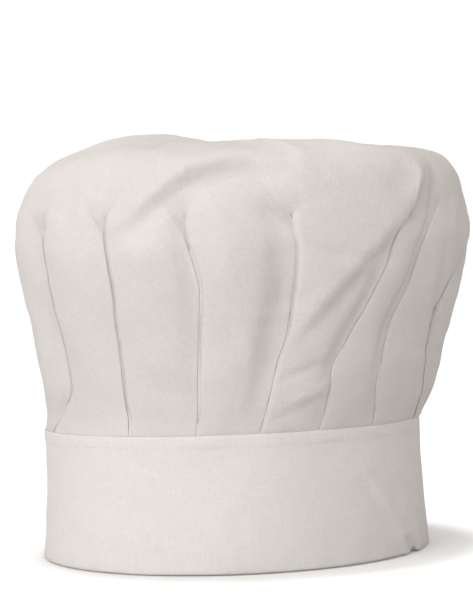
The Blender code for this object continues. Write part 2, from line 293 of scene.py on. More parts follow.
def band_relief(turn, height):
    """How far the band's cloth stands out of its smooth form, in mm, at heights in mm."""
    turn, height = np.broadcast_arrays(np.asarray(turn, float) % 360, np.asarray(height, float))
    over_allowance = eased(height, TOPSTITCH_HEIGHT / MM - 1.2, TOPSTITCH_HEIGHT / MM + 0.6)
    relief = over_allowance * (ALLOWANCE_BULK + PLEAT_BULK * pleat_bulk(turn))
    relief = relief - 0.12 * np.exp(-(((height - TOPSTITCH_HEIGHT / MM) / 0.5) ** 2))
    relief = relief + 0.1 * eased(height, LINING_HIGH / MM - 1.0, LINING_HIGH / MM + 0.4)
    around = turn * math.radians(1) * BAND_RADIUS / MM
    seam_sway = np.sin(np.radians(turn))
    slow = ripple(around + 3, height * 0.6 + seam_sway, 34.0, 2.2) * 0.7
    slow = slow + ripple(around, height, 15.0, 8.1) * 0.35
    fine = ripple(around + height * 0.5, height - around * 0.2, 6.0, 4.4) * 0.14
    calm = 0.35 + 0.65 * eased(np.abs((turn - 16 + 180) % 360 - 180), 34, 60)
    loose = (slow + fine) * calm * eased(height, -2, 6) * (1 - 0.5 * over_allowance)
    creases = crease_relief(BAND_CREASES, turn, height, lambda at: BAND_RADIUS / MM)
    return relief + loose + creases * (1 - 0.7 * over_allowance)


def band_points(turn, height, out):
    """Points out metres outside the band's outer face, at heights in metres."""
    turn, height, out = np.broadcast_arrays(turn, np.asarray(height, float), out)
    angle = np.radians(turn)
    radius = band_face(height) + out
    return np.stack([radius * np.sin(angle), radius * np.cos(angle), height], axis=-1)


def make_band():
    """One strip: turned in at the top, down the outer leaf, folded under, up the inner leaf and turned in."""
    low, high = 1.2 * MM, BAND_HEIGHT - 0.7 * MM
    half = LEAF / 2
    thickness = BAND_THICKNESS
    path = [(-0.78 * MM, high - 2.4 * MM), (-0.70 * MM, high), (-0.46 * MM, BAND_HEIGHT - half)]
    path += [(-half, height) for height in np.linspace(high, low, 46)]
    path += [(-0.45 * MM, 0.5 * MM), (-1.0 * MM, half), (-1.8 * MM, half), (-2.35 * MM, 0.5 * MM)]
    path += [(-thickness + half, height) for height in np.linspace(low, high, 24)]
    path += [(-2.3 * MM, BAND_HEIGHT - half), (-2.05 * MM, high), (-1.98 * MM, high - 2.4 * MM)]
    out = np.array([place[0] for place in path])[:, None]
    height = np.array([place[1] for place in path])[:, None]
    ends = np.array([0, 0.25, 0.6, 1.0])
    turns = np.concatenate([BAND_END + ends, np.linspace(BAND_END + 1.5, 360 - BAND_END - 1.5, 330)])
    turns = np.concatenate([turns, 360 - BAND_END - ends[::-1]])[None, :]
    from_end = np.minimum(turns - BAND_END, 360 - BAND_END - turns)
    closing = 1 - eased(from_end, -0.1, 0.9)
    relief = band_relief(turns, height / MM) * MM
    depth = np.clip(-out / thickness, 0, 1)
    relief = relief * (1 - 0.45 * depth)
    middle = -thickness / 2
    placed = out + relief * (1 - closing)
    placed = placed + (middle + np.sign(out - middle) * half - placed) * closing
    uneven = np.clip(0.5 + ripple(turns * 0.3, 0 * turns, 6.0, 5.0), 0, None) * 0.35 * MM
    notch = HEM_NOTCH_RISE * np.exp(-(((turns - HEM_NOTCH_TURN) / HEM_NOTCH_HALF) ** 2))
    foot = (uneven + notch) * (1 - eased(height, 0, 9 * MM))
    points = band_points(turns, height + foot, placed)
    walked = np.concatenate([[0], np.cumsum(np.hypot(np.diff(out[:, 0]), np.diff(height[:, 0])))])
    pattern = np.stack(np.meshgrid(np.radians(turns[0]) * BAND_RADIUS, walked), axis=-1)
    return thicken(sheet_mesh("band_folded_cloth", points, pattern), LEAF)


def make_band_interlining():
    turns = np.linspace(BAND_END + 1.2, 360 - BAND_END - 1.2, 240)[None, :]
    height = np.linspace(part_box("band_interlining")[0].z, LINING_HIGH, 20)[:, None]
    relief = band_relief(turns, height / MM) * MM * 0.75
    points = band_points(turns, height, -BAND_THICKNESS / 2 + relief)
    pattern = np.stack(np.meshgrid(np.radians(turns[0]) * BAND_RADIUS, height[:, 0]), axis=-1)
    return thicken(sheet_mesh("band_stiffening", points, pattern), 0.5 * MM)


# ---------------------------------------------------------------- crown: the shape under its folds

# The crown's outline in mm, (radius, height) from inside the band's top edge over the shoulder to the middle.
OUTLINE = (
    (93.9, 62), (94.05, 64), (94.25, 65.5), (94.8, 69), (96.3, 77), (98.6, 90), (102.4, 110), (107.0, 127),
    (110.3, 141), (112.0, 154), (111.6, 166), (109.8, 176), (107.4, 185), (103.4, 191), (97.4, 194.6),
    (88.6, 197.0), (76.0, 198.6), (60.0, 199.5), (42.0, 200.0), (22.0, 200.3), (0.0, 200.4),
)
# How far the crown leans to +X, in mm, by height.
LEAN = (
    (60, 0.4), (64, 0.8), (74, 3.4), (88, 5.3), (112, 6.8), (136, 8.0), (168, 8.0), (184, 10.0), (192, 10.5),
    (198, 5.0), (203, 0.5),
)
PEAK_RISE, PEAK_X, PEAK_Y, PEAK_SPREAD = 10.0, -37.0, -14.0, 26.0
outline_radius = np.array([knot[0] for knot in OUTLINE])
outline_height = np.array([knot[1] for knot in OUTLINE])
outline_steps = np.hypot(np.diff(outline_radius), np.diff(outline_height))
outline_length = np.concatenate([[0], np.cumsum(outline_steps)])
radius_at = soft_curve(list(zip(outline_length, outline_radius)))
height_at = soft_curve(list(zip(outline_length, outline_height)))
length_at_height = soft_curve(list(zip(outline_height, outline_length)))
lean_at = soft_curve(LEAN)
MERIDIAN = outline_length[-1]
SEAM_LENGTH = float(length_at_height(SEAM_HEIGHT))

# Heights in mm of the crown's shoulder and of the slit's, and how far the slit's half-angle narrows.
SHOULDER = 190.0
SLIT_SHOULDER, SLIT_TOP, SLIT_TAPER = 106.0, 112.0, 1.7
SLIT_SPREAD = 17.0  # degrees of turn over which the cloth makes room for the slit
SLIT_ROWS = 60  # the crown's rows that the slit is read from, counted from the seam
PANEL_STEPS = 12
FOLD_STEPS = (0.012, 0.03, 0.08, 0.2, 0.45, 0.5, 0.55, 0.75, 0.92, 1.0)
# Share of a panel, on each side of an edge, that a fold's cloth takes up where it lies open.
FOLD_SPREAD = 0.25
# Space between a pleat's layers, and how far its panels puff out, in mm by height.
LAYER_GAP = soft_curve(((62, 0.12), (90, 0.13), (125, 0.17), (150, 0.17), (184, 0.13)))
PUFF = soft_curve(((62, 0.0), (66, 0.15), (80, 1.4), (105, 2.6), (140, 2.8), (165, 1.9), (182, 0.8),
                   (192, 0.0)))

CROWN_CREASES = (
    # The hood over the tall lobe in front, and the lobe's round top and hollow sides.
    (((210, 156), (204.6, 165), (201, 171), (197.5, 176.5), (194, 181), (190, 184), (184, 186.4),
      (179, 186.6), (175.4, 184), (173.6, 180), (172.6, 175)), -3.0, 4.0, "ledge"),
    (((196, 177), (191, 181.4), (185, 183.4), (180, 183), (176.6, 180)), -1.9, 4.0, "fold"),
    (((212, 150), (207, 160), (201, 168), (196, 173)), -1.3, 6.0, "fold"),
    (((198, 186), (192, 190), (185, 191.5), (178, 190)), 1.3, 4.4, "fold"),
    (((187, 175), (185, 162), (184, 148), (184, 134)), 1.7, 7.5, "fold"),
    (((193.4, 172), (194, 160), (193.6, 150), (193, 138), (192.4, 122)), -2.5, 3.4, "fold"),
    (((174, 164), (171.8, 152), (171.3, 140), (171.8, 125), (173.4, 111), (174.4, 92), (175, 76)),
     -2.7, 4.2, "fold"),
    (((203, 156), (205, 140), (204, 120)), 0.9, 6.0, "fold"),
    # Long slack folds on the right of the front.
    (((165, 155), (163, 150), (159.2, 144.2), (152.4, 140.6), (147, 140)), 1.3, 2.4, "ledge"),
    (((174, 176), (168, 163), (160, 150)), -0.9, 4.2, "fold"),
    (((128.4, 186), (130.6, 178), (136, 162), (151, 139.4), (160.4, 119.6), (168.6, 101)), 2.1, 4.0, "ledge"),
    (((129, 188), (132, 177), (139, 160)), 2.2, 4.6, "fold"),
    (((122, 190), (124, 176), (128, 160)), -2.2, 4.6, "fold"),
    (((157, 90), (153.6, 106), (148.6, 123), (142.6, 150), (136.6, 169)), -1.6, 1.9, "fold"),
    (((160, 92), (156.8, 106), (152, 123), (146, 148)), 0.6, 1.8, "fold"),
    (((139, 78), (141.6, 92), (141, 111), (137.6, 127), (132, 150), (125, 171)), -1.1, 1.3, "fold"),
    (((170, 86.6), (165, 91), (158, 95.5)), -1.3, 2.0, "fold"),
    (((169, 70.6), (164, 74), (158, 79)), -0.8, 2.4, "fold"),
    (((166, 78), (160, 82), (156, 86)), 1.0, 2.6, "fold"),
    (((133, 101), (120, 99), (104, 96)), -0.7, 1.8, "fold"),
    (((120, 146), (119.5, 128), (116, 112), (112, 92), (110, 74)), -1.8, 3.0, "fold"),
    (((124, 140), (124, 122), (121, 106)), 0.8, 2.6, "fold"),
    # The left of the front.
    (((239.5, 150), (242, 120), (245, 95)), -2.6, 4.0, "fold"),
    (((234, 84), (241, 77), (248, 70)), -1.9, 1.9, "fold"),
    (((223.5, 178), (221.3, 166), (222, 154)), 1.0, 2.2, "fold"),
    (((226, 172), (225, 160)), -0.8, 2.4, "fold"),
    (((218, 170.6), (213.5, 168)), -1.3, 1.3, "fold"),
    (((221, 65.5), (216, 63.5), (211, 62)), -0.5, 1.0, "fold"),
    (((186.5, 118), (183.5, 108), (180, 102)), -1.1, 3.8, "fold"),
    (((180, 112), (176, 104)), 0.9, 4.0, "fold"),
    (((186, 122), (178, 118), (170, 119)), 0.6, 1.8, "fold"),
    (((205, 120), (200, 104)), -0.8, 5.0, "fold"),
    # Over the top edge.
    (((172, 201), (170, 193), (168, 184)), -1.5, 2.4, "fold"),
    (((166, 198), (164, 188)), 0.9, 3.0, "fold"),
    (((205, 197), (203, 188)), -0.9, 3.6, "fold"),
    # The back and the sides.
    (((60, 170), (66, 140), (64, 120)), -1.8, 4.4, "fold"),
    (((80, 186), (84, 160), (80, 130)), 1.8, 5.0, "fold"),
    (((96, 150), (90, 132), (92, 112)), -1.6, 3.4, "fold"),
    (((104, 182), (98, 166), (88, 150)), 1.6, 4.0, "ledge"),
    (((28, 176), (24, 150), (27, 130)), 1.4, 5.0, "fold"),
    (((40, 186), (30, 172), (12, 164)), 1.5, 4.2, "ledge"),
    (((350, 182), (356, 150), (352, 124)), -1.6, 5.0, "fold"),
    (((370, 150), (362, 134), (356, 126)), 1.2, 3.6, "fold"),
    (((300, 178), (296, 150)), 1.5, 5.0, "fold"),
    (((278, 180), (290, 166), (306, 160)), -1.5, 4.2, "ledge"),
    (((318, 120), (312, 96)), -1.2, 4.0, "fold"),
    (((336, 150), (328, 132), (330, 112)), 1.2, 3.6, "fold"),
    (((262, 176), (258, 140), (262, 110)), -1.6, 5.0, "fold"),
    (((98, 120), (102, 90)), -1.2, 4.0, "fold"),
    (((45, 110), (40, 84)), -1.1, 4.0, "fold"),
)


def crown_radius(height):
    """Radius of the crown's smooth form in mm, at a height in mm, no higher than its shoulder."""
    return float(radius_at(length_at_height(min(height, SHOULDER))))


def slit_turn(height):
    """Half-angle of the slit in the crown at a height in mm."""
    narrowed = BAND_END - SLIT_TAPER * np.clip((height - SEAM_HEIGHT) / (SLIT_SHOULDER - SEAM_HEIGHT), 0, 1)
    return narrowed * (1 - np.clip((height - SLIT_SHOULDER) / (SLIT_TOP - SLIT_SHOULDER), 0, 1))


def crown_points(turn, length, out):
    """Points out mm outside the crown's smooth form, in mm, at arrays of turn and length on the outline."""
    step = 0.5
    height = height_at(length)
    around = np.radians(turn)
    swell = 2.2 * np.sin(2 * around + 0.6) + 1.6 * np.sin(5 * around + 2.0)
    swell = swell * eased(height, 74, 110) * (1 - eased(height, 176, 190))
    radius = radius_at(length + swell)
    dr = radius_at(length + step) - radius_at(length - step)
    dz = height_at(length + step) - height_at(length - step)
    size = np.maximum(np.hypot(dr, dz), 1e-9)
    out_r, out_z = dz / size, -dr / size
    full = radius + out_r * out
    x = lean_at(height) + full * np.sin(around)
    y = full * np.cos(around)
    apart = np.hypot(x - PEAK_X, y - PEAK_Y) / PEAK_SPREAD
    z = height + out_z * out + PEAK_RISE * np.exp(-0.5 * apart**2) * eased(height, 186, 200)
    return np.stack([x, y, z], axis=-1)


def slack_relief(turn, length, height):
    """Slow waves and small crumples of the loose cloth, in mm."""
    radius = radius_at(length)
    x, y = radius * np.sin(np.radians(turn)), radius * np.cos(np.radians(turn))
    top = eased(height, 176, 196)
    wave = ripple(x + 7, y, 46.0, 3.1) * 2.2 * (0.35 + 0.65 * top)
    wave += ripple(x + height * 0.8, y - height * 0.5, 21.0, 7.7) * 1.1 * eased(height, 66, 90)
    wave += ripple(x + height, y - height, 9.0, 1.3) * 0.4 * eased(height, 66, 80)
    gathers = ripple(turn * 2.2, height * 0.16, 6.0, 5.5) * 0.5
    gathers = gathers * (1 - eased(height, 66, 112)) * eased(height, 63, 68)
    return wave + gathers


def pleat_state(heights, spare):
    """For each pleat and row: its edge's turn, its layers' spacing, how folded it is and how far it holds."""
    edges, depths, folds, holds = [], [], [], []
    for edge, (_, bold, top) in zip(PLEAT_EDGES, PLEATS):
        edges.append(edge(heights))
        opened = 1 - eased(heights, top - 12, top + 10)
        depths.append(LAYER_GAP(heights) * bold ** eased(heights, 63, 80) * opened)
        folds.append(eased(spare, 1.0, 6.0) * (1 - eased(heights, top - 8, top + 12)))
        holds.append(bold * (1 - eased(heights, top - 42, top + 12)))
    return np.array(edges), np.array(depths), np.array(folds), np.array(holds)


def crown_rows():
    """Lengths along the outline, in mm from the seam, of the rows: closer at the seam and the shoulder."""
    pocket = [-SEAM_ALLOWANCE, -2.6, -0.9, -0.3, 0.3, 0.9, 2.2, 3.6]
    shoulder_end = float(length_at_height(SHOULDER)) - SEAM_LENGTH
    side = np.arange(5.0, shoulder_end, 1.9)
    top = shoulder_end + (MERIDIAN - SEAM_LENGTH - shoulder_end) * np.linspace(0, 1, 34)
    return np.concatenate([pocket, side, top])


def crown_grid():
    """One round cloth. At each pleat it runs out to the fold's edge, back under itself, and on again.

    Returns the points in mm, the cloth's flat pattern in metres and the rows' heights in mm.
    """
    lengths = crown_rows()
    held = np.maximum(lengths, 0) + SEAM_LENGTH
    heights = height_at(held) + np.minimum(lengths, 0)
    ring = 2 * np.pi * radius_at(held)
    cloth_ring = 2 * np.pi * (MERIDIAN - SEAM_LENGTH - lengths)
    spare = np.maximum(cloth_ring - ring, 0.0) / PLEAT_COUNT / 2
    per_degree = np.maximum(radius_at(held), 1.0) * math.radians(1)
    edge, depth, fold, hold = pleat_state(heights, spare)
    puff = PUFF(heights)
    swells = np.clip((edge - np.roll(edge, 1, axis=0)) % 360 / 20.0, 0.6, 1.5)
    swell_at_edge = (swells + np.roll(swells, -1, axis=0)) / 2
    sink_power = 4.5 - 2.7 * eased(heights, 64, 96)
    turns, outs, shares = [], [], []

    for k in range(PLEAT_COUNT + 1):
        below, above = (k - 1) % PLEAT_COUNT, k % PLEAT_COUNT
        low = edge[below] - (360 if k == 0 else 0)
        high = edge[above] + (360 if k == PLEAT_COUNT else 0)
        width = high - low

        def panel_out(t):
            """Depth across a panel: sunk where it leaves its neighbour, proud at its own edge."""
            sink = 2 * depth[below] * (1 - t) ** sink_power
            crest = 0.6 * depth[above] * t**8
            dome = np.sin(np.pi * np.clip(t, 0, 1)) ** 0.9
            held_down = (1 - t) * hold[below] + t * hold[above]
            wide = (1 - t) * swell_at_edge[below] + t * swell_at_edge[above]
            return crest - sink + puff * wide * (1 - (1 - dome) * held_down)

        first, last = (0.5, 1.0) if k == 0 else (0.0, 0.5) if k == PLEAT_COUNT else (0.0, 1.0)
        steps = np.linspace(first, last, round(PANEL_STEPS * (last - first)) + 1)
        for t in steps if k == 0 else steps[1:]:
            low_share, high_share = FOLD_SPREAD * (1 - fold[below]), FOLD_SPREAD * (1 - fold[above])
            turns.append(low + width * (low_share + t * (1 - low_share - high_share)))
            outs.append(panel_out(t))
            shares.append(k - 1 + FOLD_SPREAD + t * (1 - 2 * FOLD_SPREAD))
        if k == PLEAT_COUNT:
            break
        next_high = edge[(k + 1) % PLEAT_COUNT] + (360 if k + 1 == PLEAT_COUNT else 0)
        under = np.minimum(spare, 0.86 * width * per_degree)
        level = depth[above]
        for a in FOLD_STEPS:
            behind = under / per_degree * (2 * a if a < 0.5 else 2 * (1 - a))
            layer = eased(a, 0.0, 0.022) + eased(a, 0.42, 0.58)
            tucked = panel_out(np.clip(1 - behind / width, 0, 1)) - level * layer
            tucked = tucked - 0.6 * level * eased(a, 0.0, 0.15) + 0.6 * level * eased(a, 0.9, 1.0)
            last_out = -2 * level + puff * swell_at_edge[above] * (1 - hold[above])
            tucked = tucked + (last_out - tucked) * eased(a, 0.93, 1.0)
            lying_open = panel_out(1.0) * (1 - a) + last_out * a
            beside = width if a < 0.5 else next_high - edge[above]
            open_turn = edge[above] + FOLD_SPREAD * (2 * a - 1) * beside
            turns.append(fold[above] * (edge[above] - behind) + (1 - fold[above]) * open_turn)
            outs.append(fold[above] * tucked + (1 - fold[above]) * lying_open)
            shares.append(k - FOLD_SPREAD + 2 * FOLD_SPREAD * a)

    turn, out = np.array(turns).T, np.array(outs).T  # row, column
    from_back = np.minimum(turn % 360, 360 - turn % 360)
    pushed = slit_turn(heights)[:, None] * (1 - np.clip(from_back / SLIT_SPREAD, 0, 1))
    turn = turn + np.where(turn < 180, pushed, -pushed)

    grid_held = np.repeat(held[:, None], turn.shape[1], axis=1)
    grid_length = np.repeat(lengths[:, None], turn.shape[1], axis=1)
    grid_height = np.repeat(heights[:, None], turn.shape[1], axis=1)
    relief = slack_relief(turn, grid_held, grid_height) * eased(grid_length, 1.0, 9.0)
    relief += crease_relief(CROWN_CREASES, turn, grid_height, crown_radius)
    on_band = band_relief(turn, np.minimum(grid_height, SEAM_HEIGHT)) * (1 - eased(grid_length, 0.0, 9.0))
    points = crown_points(turn, grid_held, out + relief + on_band)

    # Down in the band's pocket the pleats lie flat between the leaves.
    angle = np.radians(turn)
    pocket_radius = BAND_RADIUS / MM - 0.72 + np.clip(out * 0.9, -1.1, 0.0) + on_band
    flat = np.stack([pocket_radius * np.sin(angle), pocket_radius * np.cos(angle), grid_height], axis=-1)
    weight = eased(grid_length, -0.9, 0.9)[..., None]
    points = points * weight + flat * (1 - weight)

    share = (np.array(shares) - shares[0]) / (shares[-1] - shares[0])
    flat_radius = (MERIDIAN - SEAM_LENGTH - lengths)[:, None] * MM
    bearing = 2 * np.pi * share
    pattern = np.stack([flat_radius * np.cos(bearing), flat_radius * np.sin(bearing)], axis=-1)
    return points, pattern, heights


crown_shape, crown_pattern, crown_heights = crown_grid()


def make_crown():
    piece = sheet_mesh("crown_cloth", crown_shape * MM, crown_pattern)
    join_seam(piece, 0.02 * MM)
    return thicken(piece, CROWN_CLOTH)


def back_panel(across, height):
    """The crown's cloth behind, in metres, with its outward normal, at mm across from X = 0 and mm high."""
    half = PANEL_STEPS // 2 + 1

    def read(x, z):
        row = np.searchsorted(crown_heights[:SLIT_ROWS], z) - 1
        part = (z - crown_heights[row]) / (crown_heights[row + 1] - crown_heights[row])
        line = crown_shape[row] * (1 - part) + crown_shape[row + 1] * part
        side = line[:half] if hand > 0 else line[::-1][:half]
        y = np.interp(hand * x, hand * side[:, 0], side[:, 1])
        return Vector((x, y, z)) * MM

    hand = 1 if across >= lean_at(height) else -1
    place = read(across, height)
    along = read(across + hand, height) - place
    up = read(across, height + 2.0) - place
    normal = along.cross(up) * hand
    normal.normalize()
    if normal.y < 0:
        normal.negate()
    return place, normal


# ---------------------------------------------------------------- sewing thread

THREAD_WIDTH = 0.42 * MM
STITCH, STITCH_GAP = 2.3 * MM, 0.55 * MM


def stitch_bead():
    """One blunt-ended stitch, half a unit to each side and one unit each way along Z."""
    bpy.ops.object.select_all(action="DESELECT")
    bpy.ops.mesh.primitive_uv_sphere_add(segments=6, ring_count=6, radius=1)
    bead = bpy.context.object
    points = np.array([vert.co for vert in bead.data.vertices])
    faces = np.array([list(face.vertices) + [-1] * (4 - len(face.vertices)) for face in bead.data.polygons])
    bpy.data.objects.remove(bead, do_unlink=True)
    ends = np.clip(points[:, 2] ** 2, 0, 0.98)
    points[:, :2] *= np.sqrt((1 - ends**2) / (1 - ends))[:, None] * 0.5
    return points, faces


BEAD = stitch_bead()


def copies(name, shape, places):
    """One mesh of many copies of a small shape. A place is a centre and the three axes of the shape."""
    points, faces = shape
    centres = np.array([place[0] for place in places])
    axes = np.array([place[1] for place in places])
    placed = centres[:, None, :] + np.einsum("pi,nij->npj", points, axes)
    shifts = len(points) * np.arange(len(places))[:, None, None]
    shifted = np.where(faces[None] >= 0, faces[None] + shifts, -1)
    mesh = bpy.data.meshes.new(name)
    mesh.from_pydata(placed.reshape(-1, 3).tolist(), [], [
        [corner for corner in face if corner >= 0] for face in shifted.reshape(-1, faces.shape[1]).tolist()
    ])
    mesh.shade_smooth()
    piece = bpy.data.objects.new(name, mesh)
    bpy.context.scene.collection.objects.link(piece)
    return piece


def stitch_places(path, normals, stitch=STITCH, gap=STITCH_GAP, width=THREAD_WIDTH, seed=1):
    """Where the stitches of one row lie: a path of points with outward normals, shared out evenly."""
    draw = np.random.default_rng(seed)
    path, normals = np.array(path, float), np.array(normals, float)
    walked = np.concatenate([[0], np.cumsum(np.linalg.norm(np.diff(path, axis=0), axis=1))])
    count = max(1, round(walked[-1] / (stitch + gap)))
    pitch = walked[-1] / count
    places = []
    for i in range(count):
        middle = (i + 0.5) * pitch
        reach = pitch * stitch / (stitch + gap) / 2
        start, centre, end = (
            np.array([np.interp(at, walked, path[:, axis]) for axis in range(3)])
            for at in (middle - reach, middle, middle + reach)
        )
        normal = np.array([np.interp(middle, walked, normals[:, axis]) for axis in range(3)])
        along = (end - start) / 2 * draw.uniform(0.96, 1.04)
        size = np.linalg.norm(along)
        side = np.cross(normal, along / size)
        side /= np.linalg.norm(side)
        along = along + side * size * draw.uniform(-0.07, 0.07)
        rise = normal * width * 0.72
        places.append((centre + normal * width * 0.14, np.array([side * width, rise, along])))
    return places


def band_line(corners, out, rise=None):
    """A path on the band between (turn, height) corners, a point every 1.5 mm, with its outward normals."""
    path, normals = [], []
    for (turn, height), (next_turn, next_height) in zip(corners, corners[1:]):
        run = math.hypot(math.radians(next_turn - turn) * BAND_RADIUS, next_height - height)
        steps = max(2, math.ceil(run / (1.5 * MM)))
        for part in np.linspace(0, 1, steps + 1):
            at, up = turn + (next_turn - turn) * part, height + (next_height - height) * part
            lifted = rise(at) if rise else float(band_relief(at, up / MM)) * MM
            path.append(band_points(at, up, out + lifted))
            normals.append((math.sin(math.radians(at)), math.cos(math.radians(at)), 0))
    return path, normals


def box_corners(start, end, low, high, margin=2.0 * MM):
    """A stitched box just inside a patch's edges, as (turn, height) corners with the first one repeated."""
    turn = math.degrees(margin / BAND_RADIUS)
    left, right, bottom, top = start + turn, end - turn, low + margin, high - margin
    return [(left, bottom), (right, bottom), (right, top), (left, top), (left, bottom)]


def stitched_line(name, corners, out, rise=None, inside=False, seed=1):
    path, normals = band_line(corners, out, rise)
    if inside:
        normals = [(-x, -y, -z) for x, y, z in normals]
    return copies(name, BEAD, stitch_places(path, normals, seed=seed))


# ---------------------------------------------------------------- slit binding

BINDING_WIDTH = 4.6  # mm
SLIT_FOOT = 64.2  # mm: the lowest point of the slit's edge
PANEL_FOOT = 64.3  # mm: the lowest height that the cloth behind is read at


def slit_outline():
    """The slit's edge in mm as (across, height): up the +X side, round the top and down the other side."""
    sides = np.linspace(SLIT_FOOT, SLIT_SHOULDER, 26)
    heights = np.concatenate([sides, np.linspace(SLIT_SHOULDER, SLIT_TOP, 9)[1:]])
    reach = [radius_at(length_at_height(h)) * math.radians(slit_turn(h)) for h in heights]
    right = [np.array((lean_at(height) + across, height)) for across, height in zip(reach, heights)]
    left = [np.array((lean_at(height) - across, height)) for across, height in zip(reach, heights)]
    return right + left[-2::-1]


def binding_frame():
    """Each point of the slit's edge with the direction from the opening into the cloth, smoothed."""
    outline = np.array(slit_outline())
    tangent = np.gradient(outline, axis=0)
    away = np.stack([tangent[:, 1], -tangent[:, 0]], axis=1)
    for _ in range(4):
        away[1:-1] = (away[:-2] + 2 * away[1:-1] + away[2:]) / 4
    away /= np.linalg.norm(away, axis=1)[:, None]
    return outline, away


def binding_place(edge, away, inwards, out):
    across, height = edge + away * max(inwards, 0.0)
    place, normal = back_panel(across, max(height, PANEL_FOOT))
    place.z += min(height - PANEL_FOOT, 0) * MM
    if inwards < 0:
        place += Vector((away[0], 0, away[1])) * inwards * MM
    return place + normal * out * MM, normal


def make_slit_binding():
    """A narrow tape folded over the slit's raw edge, with one leaf outside the crown and one inside."""
    outline, away = binding_frame()
    section = [(BINDING_WIDTH, 0.42), (BINDING_WIDTH - 0.5, 0.52), (3.2, 0.5), (2.0, 0.52), (0.8, 0.55)]
    section += [(0.1, 0.5)]
    section += [(-0.25, 0.28), (-0.36, 0.0), (-0.25, -0.28)]
    section += [(inwards, -out) for inwards, out in section[5::-1]]
    points = np.array([
        [binding_place(edge, direction, inwards, out)[0] for edge, direction in zip(outline, away)]
        for inwards, out in section
    ])
    walked = np.concatenate([[0], np.cumsum(np.linalg.norm(np.diff(outline, axis=0), axis=1))]) * MM
    widths = np.cumsum([0.0] + [math.dist(a, b) for a, b in zip(section, section[1:])]) * MM
    piece = sheet_mesh("slit_edge_tape", points, np.stack(np.meshgrid(walked, widths), axis=-1))
    return thicken(piece, 0.3 * MM)


def make_binding_stitch():
    outline, away = binding_frame()
    inwards = BINDING_WIDTH - 1.0
    spots = [binding_place(edge, direction, inwards, 0.66) for edge, direction in zip(outline, away)]
    path, normals = [list(spot[0]) for spot in spots], [list(spot[1]) for spot in spots]
    return copies("slit_binding_thread", BEAD, stitch_places(path, normals, stitch=1.9 * MM, seed=3))


def make_bar_tack():
    """Close upright stitches over two long ones, which stop the slit from tearing."""
    places = []
    middle = float(lean_at(BAR_TACK_HEIGHT / MM)) + 1e-6
    for across in np.arange(-3.6, 3.7, 0.42):
        place, normal = back_panel(middle + across, BAR_TACK_HEIGHT / MM)
        up = np.array([0, 0, 1.25 * MM]) + np.array([0.12 * MM, 0, 0]) * (1 if round(across * 10) % 2 else -1)
        side = np.array([0.5 * MM, 0, 0])
        rise = np.array(normal) * 0.42 * MM
        places.append((np.array(place + normal * 0.75 * MM), np.array([side, rise, up])))
    for lift in (-0.45, 0.45):
        place, normal = back_panel(middle, BAR_TACK_HEIGHT / MM + lift)
        along = np.array([4.1 * MM, 0, 0])
        rise = np.array(normal) * 0.4 * MM
        side = np.array([0, 0, 0.5 * MM])
        places.append((np.array(place + normal * 0.55 * MM), np.array([side, rise, along])))
    return copies("slit_bar_tack_thread", BEAD, places)


# ---------------------------------------------------------------- closure: tab, tapes and label

def tab_rise(turn):
    """How far the tab has climbed from the band on to the tapes, in metres."""
    return TAB_RISE * eased(turn, TAB_START, TAB_RISEN)


def make_tab():
    """The tab's cloth: folded at its lower edge, turned in at the top, sewn flat to the band at its root."""
    low, high = TAB_LOW, TAB_HIGH
    half = LEAF / 2
    turns = np.concatenate([
        np.linspace(ROOT_START, TAB_END - 3.0, 72), np.linspace(TAB_END - 2.6, TAB_END, 9),
    ])[None, :]
    pocket = 0.85 * MM * eased(turns, TAB_START, TAB_START + 3.0) * (1 - eased(turns, TAB_END - 1.6, TAB_END))
    inner = 0.05 * MM + half + 0.3 * MM * eased(turns, TAB_START - 1, TAB_START + 3)
    outer = inner + LEAF + 0.04 * MM + pocket
    middle = (inner + outer) / 2
    rows = [(1, high - 5.0 * MM, 0.62), (1, high - 0.6 * MM, 0.62), (1, high - 0.1 * MM, 0.85)]
    rows += [(1, height, 1.0) for height in np.linspace(high - 0.7 * MM, low + 1.0 * MM, 26)]
    rows += [(1, low + 0.3 * MM, 0.75), (0, low + half, 0.0), (-1, low + 0.3 * MM, 0.75)]
    rows += [(-1, height, 1.0) for height in np.linspace(low + 1.0 * MM, high - 0.7 * MM, 18)]
    rows += [(-1, high - 0.1 * MM, 0.85), (-1, high - 0.6 * MM, 0.62), (-1, high - 5.0 * MM, 0.62)]
    corner = 5.0 * MM
    past = np.clip((np.radians(turns - TAB_END) * BAND_RADIUS + corner) / corner, 0, 1)
    rounding = corner * (1 - np.sqrt(1 - past**2 * 0.98))
    out, height = [], []
    for side, up, spread in rows:
        reach = (up - (low + high) / 2) / ((high - low) / 2)
        out.append(middle + side * (outer - middle) * spread)
        height.append(up - reach * rounding)
    out, height = np.vstack(out), np.vstack(height)
    wave = 0.16 * MM * ripple(turns * 1.7 + 0 * height, height / MM, 9.0, 6.1)
    wave = wave * eased(turns, ROOT_START, TAB_END)
    sewn_down = 1 - eased(turns, TAB_START, TAB_RISEN)
    on_band = band_relief(turns + 0 * height, height / MM) * MM * sewn_down * 0.8
    points = band_points(turns + 0 * height, height, out + tab_rise(turns) + wave + on_band)
    walked = np.concatenate([[0], np.cumsum(np.abs(np.diff([row[1] for row in rows])) + 0.1 * MM)])
    pattern = np.stack(np.meshgrid(np.radians(turns[0]) * BAND_RADIUS, walked), axis=-1)
    return thicken(sheet_mesh("closure_tab_cloth", points, pattern), LEAF)


